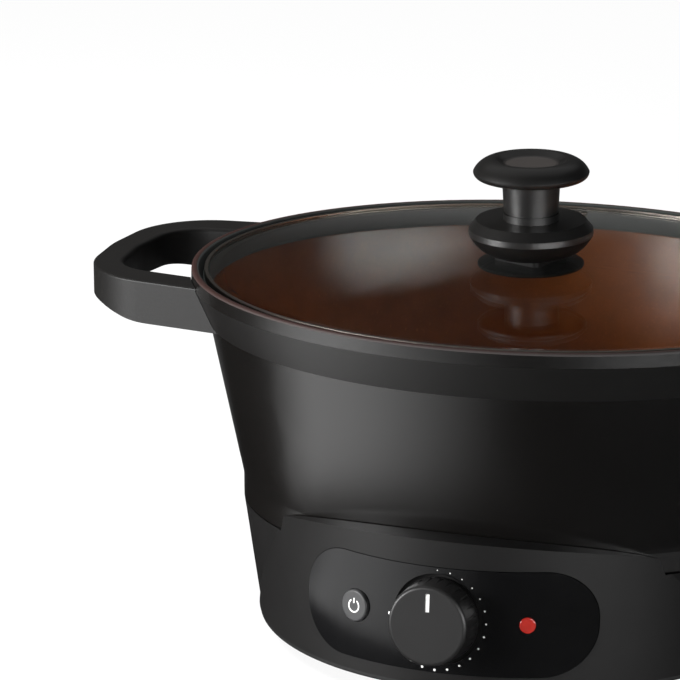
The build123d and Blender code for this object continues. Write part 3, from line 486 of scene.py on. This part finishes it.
for finishName, nodeNames in nodeFinishes.items():
    for name in nodeNames:
        mesh = nodes[name].data
        mesh.materials.clear()
        mesh.materials.append(finishes[finishName])
print("finishes set on", sum(len(names) for names in nodeFinishes.values()), "nodes")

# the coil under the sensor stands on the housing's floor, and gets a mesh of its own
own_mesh(nodes["sensor_spring"])

smoothAngle = radians(35)    # edges flatter than this are shaded smooth


def clearChoice():
    bpy.ops.object.select_all(action="DESELECT")


def choose(*pieces):
    # only these are selected, and the first is the active one
    clearChoice()
    for piece in pieces:
        piece.select_set(True)
    bpy.context.view_layer.objects.active = pieces[0]


def chooseFaces(piece, test):
    # in edit mode, selects the faces whose centre and normal pass the test
    bpy.ops.mesh.select_all(action="DESELECT")
    bpy.ops.object.mode_set(mode="OBJECT")
    for face in piece.data.polygons:
        face.select = test(face.center, face.normal)
    bpy.ops.object.mode_set(mode="EDIT")
    bpy.ops.mesh.select_mode(type="FACE")


def joined(parts):
    choose(*parts)
    bpy.ops.object.join()
    return parts[0]


def settle(piece, name, finishName, body):
    # place into the mesh, edges smoothed by angle, one finish, and the body that carries it
    choose(piece)
    bpy.ops.object.transform_apply(location=True, rotation=True, scale=True)
    bpy.ops.object.shade_smooth_by_angle(angle=smoothAngle)
    piece.name = name
    piece.data.name = name
    piece.data.materials.clear()
    piece.data.materials.append(finishes[finishName])
    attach(piece, body)


def copies(source, places):
    # one piece made of a copy of the source at each matrix
    made = []
    for place in places:
        twin = source.copy()
        twin.data = source.data.copy()
        bpy.context.scene.collection.objects.link(twin)
        twin.matrix_world = place
        made.append(twin)
    bpy.data.objects.remove(source)
    bpy.context.view_layer.update()
    return joined(made)


# the console's front as the CAD draws it, for the marks that lie on it
consoleShape = {"reach": 0.136, "top": 0.081, "lean": 0.0874887, "ratio": 0.96, "proud": 0.0004}


def consolePoint(x, z):
    # a point on the fascia's face, and its outward normal
    c = consoleShape
    depth = c["reach"] + (c["top"] - z) * c["lean"]
    half = depth * c["ratio"]
    y = -depth * sqrt(1 - (x / half) ** 2)
    normal = Vector((x / half ** 2, y / depth ** 2, c["lean"] / depth)).normalized()
    return Vector((x, y + potAxis, z)) + normal * c["proud"], normal


def consoleMatrix(x, z, sink, scale):
    # lays a flat mark on the fascia, sunk into it by the given depth
    point, normal = consolePoint(x, z)
    turn = normal.to_track_quat("Z", "Y").to_matrix().to_4x4()
    return Matrix.Translation(point - normal * sink) @ turn @ Matrix.Diagonal((scale, scale, 1, 1))


dialScale = {
    "reach": 0.0247, "height": 0.042, "count": 19, "sweep": 270,
    "smallest": 0.00032, "largest": 0.00078, "thickness": 0.0004, "proud": 0.00008, "edge": 0.00006,
}


def makeDialScale():
    # dots that grow clockwise round the dial, from off at the top
    d = dialScale
    clearChoice()
    bpy.ops.mesh.primitive_cylinder_add(vertices=28, radius=d["largest"], depth=d["thickness"],
                                        location=(0, 0, 0))
    dot = bpy.context.object
    bpy.ops.object.mode_set(mode="EDIT")
    chooseFaces(dot, lambda centre, normal: normal.z > 0.9)
    bpy.ops.mesh.bevel(offset=d["edge"], segments=2, affect="EDGES")
    bpy.ops.object.mode_set(mode="OBJECT")
    places = []
    for step in range(d["count"]):
        share = step / (d["count"] - 1)
        angle = radians(90 - d["sweep"] * share)
        size = d["smallest"] + (d["largest"] - d["smallest"]) * share
        x = d["reach"] * cos(angle)
        z = d["height"] + d["reach"] * sin(angle)
        places.append(consoleMatrix(x, z, d["thickness"] / 2 - d["proud"], size / d["largest"]))
    settle(copies(dot, places), "dial_scale", "markWhite", "base")


buttonMark = {
    "place": -0.044, "height": 0.042, "proud": 0.00215, "thickness": 0.00012,
    "ring": 0.0031, "line": 0.00036, "gap": 0.62, "bar": 0.0026, "barMiddle": 0.0026,
}


def makeButtonMark():
    # the usual standby sign: an open ring with a bar at its gap
    b = buttonMark
    outer, inner = b["ring"] + b["line"], b["ring"] - b["line"]
    clearChoice()
    bpy.ops.mesh.primitive_circle_add(vertices=90, radius=outer, location=(0, 0, 0))
    mark = bpy.context.object
    bpy.ops.object.mode_set(mode="EDIT")
    bpy.ops.mesh.select_all(action="SELECT")
    bpy.ops.mesh.extrude_edges_move()
    bpy.ops.transform.resize(value=(inner / outer, inner / outer, 1), center_override=(0, 0, 0))
    chooseFaces(mark, lambda centre, normal: centre.y > 0 and abs(centre.x) < centre.y * b["gap"])
    bpy.ops.mesh.delete(type="FACE")
    bpy.ops.object.mode_set(mode="OBJECT")
    clearChoice()
    bpy.ops.mesh.primitive_plane_add(size=1, location=(0, b["barMiddle"], 0))
    bar = bpy.context.object
    bar.scale = (2 * b["line"], b["bar"], 1)
    bpy.ops.object.transform_apply(location=True, rotation=True, scale=True)
    joined([mark, bar])
    bpy.ops.object.mode_set(mode="EDIT")
    bpy.ops.mesh.select_all(action="SELECT")
    bpy.ops.mesh.extrude_region_move(TRANSFORM_OT_translate={"value": (0, 0, b["thickness"])})
    bpy.ops.mesh.select_all(action="SELECT")
    bpy.ops.mesh.normals_make_consistent(inside=False)
    bpy.ops.object.mode_set(mode="OBJECT")
    point, normal = consolePoint(b["place"], b["height"])
    point += normal * (b["proud"] - consoleShape["proud"])
    across = Vector((0, 0, 1)).cross(normal).normalized()
    turn = Matrix((across, normal.cross(across), normal)).transposed().to_4x4()
    mark.matrix_world = Matrix.Translation(point) @ turn
    settle(mark, "button_mark", "markWhite", "button")


# places from the board's middle, then radius and height, or length, depth and height
boardParts = {
    "top": 0.0156, "middle": -0.0836,
    "cans": [(-0.028, 0.004, 0.005, 0.011), (-0.014, 0.005, 0.004, 0.009), (0.031, -0.003, 0.003, 0.007)],
    "canEdge": 0.12, "canDip": 0.0002, "canGroove": ((0.14, 1.0), (0.2, 0.93), (0.26, 1.0)),
    "chips": [(0.002, -0.004, 0.010, 0.007, 0.0016), (0.017, 0.004, 0.006, 0.005, 0.0014)],
    "sockets": [(-0.012, -0.0105, 0.016, 0.006, 0.007), (0.02, -0.0108, 0.01, 0.005, 0.007)],
    "blockEdge": 0.0002, "socketWall": 0.0008, "socketDepth": 0.7,
}


def makeCans():
    # round capacitors with a rolled groove near the foot and a scored top
    b = boardParts
    made = []
    for x, y, radius, height in b["cans"]:
        clearChoice()
        bpy.ops.mesh.primitive_cylinder_add(vertices=36, radius=radius, depth=height,
                                            location=(x, b["middle"] + y, b["top"] + height / 2))
        can = bpy.context.object
        bpy.ops.object.mode_set(mode="EDIT")
        chooseFaces(can, lambda centre, normal: normal.z > 0.9)
        bpy.ops.mesh.bevel(offset=radius * b["canEdge"], segments=3, affect="EDGES")
        chooseFaces(can, lambda centre, normal: normal.z > 0.99)
        bpy.ops.mesh.inset(thickness=radius * b["canEdge"], depth=-b["canDip"])
        for level, squeeze in b["canGroove"]:
            bpy.ops.mesh.select_all(action="SELECT")
            bpy.ops.mesh.bisect(plane_co=(0, 0, b["top"] + height * level), plane_no=(0, 0, 1))
            bpy.ops.transform.resize(value=(squeeze, squeeze, 1), center_override=(x, b["middle"] + y, 0))
        bpy.ops.object.mode_set(mode="OBJECT")
        made.append(can)
    settle(joined(made), "board_capacitors", "fuseTin", "base")


def makeBlocks(rows, name, finishName, wall=0):
    # low chips, or sockets with a wall that are hollowed from above: boxes with bevelled edges
    b = boardParts
    made = []
    for x, y, length, depth, height in rows:
        clearChoice()
        bpy.ops.mesh.primitive_cube_add(size=1, location=(x, b["middle"] + y, b["top"] + height / 2))
        block = bpy.context.object
        block.scale = (length, depth, height)
        bpy.ops.object.transform_apply(location=True, rotation=True, scale=True)
        bpy.ops.object.mode_set(mode="EDIT")
        bpy.ops.mesh.select_all(action="SELECT")
        bpy.ops.mesh.bevel(offset=b["blockEdge"], segments=2, affect="EDGES")
        if wall:
            chooseFaces(block, lambda centre, normal: normal.z > 0.99)
            bpy.ops.mesh.inset(thickness=wall, depth=0)
            sink = (0, 0, -height * b["socketDepth"])
            bpy.ops.mesh.extrude_region_move(TRANSFORM_OT_translate={"value": sink})
        bpy.ops.object.mode_set(mode="OBJECT")
        made.append(block)
    settle(joined(made), name, finishName, "base")


makeDialScale()
makeButtonMark()
makeCans()
makeBlocks(boardParts["chips"], "board_chips", "chipBlack")
makeBlocks(boardParts["sockets"], "board_sockets", "switchCream",
           boardParts["socketWall"])
print("marks and board parts made")

white = (1, 1, 1)
floorLook = {"size": 30, "colour": (0.8, 0.8, 0.8), "glow": 0.92}


def makeFloor():
    # a pale floor that takes shadows, and looks nearly white to the camera and through the glass
    clearChoice()
    bpy.ops.mesh.primitive_plane_add(size=floorLook["size"], location=(0, 0, 0))
    floor = bpy.context.object
    floor.name = "floor"
    finish = Finish("paleFloor")
    direct, through = finish.outputs("LightPath", ["Is Camera Ray", "Is Transmission Ray"])
    seen = direct.either(through)
    matt = finish.add("BsdfDiffuse", {}, {"Color": floorLook["colour"]})
    glow = finish.add("Emission", {}, {"Color": white, "Strength": 1.0})
    mixed = finish.add("MixShader", {}, {0: seen * floorLook["glow"], 1: matt, 2: glow})
    floor.data.materials.append(finish.close(mixed))


# directions are degrees round the origin from +X, and each pair is where a patch of light starts and is
# full, or where it starts to fade and ends
cards = {
    "roomRadius": 7.0, "roomShade": 0.014, "tableRadius": 6.9, "tableHeight": 0.001, "tableShade": 0.01,
    "left": (-168, -147), "right": (-137, -80), "bright": 1.35,
    "near": (0.24, 0.275), "far": (0.8, 1.0), "farShare": 0.15,
    "rearRight": (20, 45), "rearLeft": (136, 158), "rear": 0.12,
    "low": 0.9, "lowTop": (0.0, 1.6), "seenThrough": 0.95,
}


def makeCards():
    # what the gloss mirrors: a dark room and a black table, with a bright patch at the left and a weak one
    # behind
    c = cards
    clearChoice()
    bpy.ops.mesh.primitive_uv_sphere_add(segments=72, ring_count=36, radius=c["roomRadius"],
                                         location=(0, 0, 0))
    room = bpy.context.object
    bpy.ops.object.mode_set(mode="EDIT")
    chooseFaces(room, lambda centre, normal: centre.z < 0)
    bpy.ops.mesh.delete(type="FACE")
    bpy.ops.object.mode_set(mode="OBJECT")
    clearChoice()
    bpy.ops.mesh.primitive_circle_add(vertices=72, radius=c["tableRadius"], fill_type="NGON",
                                      location=(0, 0, c["tableHeight"]))
    table = bpy.context.object
    for card, name in ((room, "roomCard"), (table, "tableCard")):
        finish = Finish(name)
        x, y, z = finish.axes(finish.place())
        turn = finish.add("Math", {"operation": "ARCTAN2"}, {0: y, 1: x}) * (180 / pi)
        front = finish.ramp(turn, *c["left"]) * finish.ramp(turn, *c["right"], 1, 0)
        rear = finish.ramp(turn, *c["rearRight"]) * finish.ramp(turn, *c["rearLeft"], 1, 0) * c["rear"]
        if card == table:
            reach = (x * x + y * y).power(0.5)
            light = (front * c["bright"] + rear) * finish.ramp(reach, *c["near"]) \
                * finish.ramp(reach, *c["far"], 1, c["farShare"]) + c["tableShade"]
        else:
            light = (front + rear) * finish.ramp(z, *c["lowTop"], c["low"], 0) + c["roomShade"]
        glossy, diffuse = finish.outputs("LightPath", ["Glossy Depth", "Diffuse Depth"])
        straight = (glossy + diffuse) < 0.5
        light = light * (1 - straight) + straight * c["seenThrough"]
        glow = finish.add("Emission", {}, {"Color": white, "Strength": light})
        card.name = name
        card.data.materials.append(finish.close(glow))
        finish.material.cycles.emission_sampling = "NONE"
        card.visible_camera = card.visible_diffuse = card.visible_shadow = False


# watts and metres, a lamp without spread lights only by gloss, and one without gloss isn't mirrored
lampAim = (0, 0, 0.12)
lamps = {
    "leftBox": {"place": (-1.3, -1.15, 0.38), "size": (0.8, 0.5), "power": 38},
    "topBox": {"place": (-0.3, 0.7, 1.7), "size": (2.4, 2.0), "power": 4.5},
    "rightBox": {"place": (1.45, -1.15, 0.33), "size": (1.7, 0.24), "power": 34, "spread": False},
    "bowlBox": {"place": (-0.9, 0.1, 0.95), "size": (0.5, 0.5), "power": 34, "gloss": False},
}


def makeLamps():
    # soft boxes that all face the pot
    for name, row in lamps.items():
        bpy.ops.object.light_add(type="AREA", location=row["place"])
        lamp = bpy.context.object
        lamp.name = name
        lamp.data.shape = "RECTANGLE"
        lamp.data.size, lamp.data.size_y = row["size"]
        lamp.data.energy = row["power"]
        lamp.visible_camera = False
        lamp.visible_diffuse = row.get("spread", True)
        lamp.visible_glossy = lamp.visible_transmission = row.get("gloss", True)
        toward = Vector(lampAim) - Vector(row["place"])
        lamp.rotation_euler = toward.to_track_quat("-Z", "Y").to_euler()


worldLight = 0.4             # what the white world gives to diffuse surfaces, 1 where it is seen


def makeWorld():
    world = bpy.data.worlds.new("studio")
    bpy.context.scene.world = world
    world.use_nodes = True
    finish = Finish("studio", world.node_tree)
    direct, mirrored, through = finish.outputs(
        "LightPath", ["Is Camera Ray", "Is Glossy Ray", "Is Transmission Ray"])
    seen = direct.either(mirrored).either(through)
    strength = seen * (1 - worldLight) + worldLight
    back = finish.add("Background", {}, {"Color": white, "Strength": strength})
    finish.add("OutputWorld", {}, {"Surface": back})


camera = {
    "place": (0.77475, -2.27867, 0.84223), "yaw": 21.0, "pitch": 16.1219, "roll": -0.35,
    "lens": 264.706, "sensor": 36, "farthest": 60,
}


def makeCamera():
    # yaw turns left, pitch looks down and roll tilts, all in degrees
    bpy.ops.object.camera_add(location=camera["place"])
    eye = bpy.context.object
    eye.data.lens, eye.data.sensor_width = camera["lens"], camera["sensor"]
    eye.data.clip_end = camera["farthest"]
    turn = Matrix.Identity(4)
    for angle, axis in ((camera["yaw"], "Z"), (90 - camera["pitch"], "X"), (camera["roll"], "Z")):
        turn = turn @ Matrix.Rotation(radians(angle), 4, axis)
    eye.matrix_world = Matrix.Translation(camera["place"]) @ turn
    bpy.context.scene.camera = eye


makeFloor()
makeCards()
makeLamps()
makeWorld()
makeCamera()
bpy.context.scene.view_settings.view_transform = "Standard"
print("floor, lamps and camera placed")
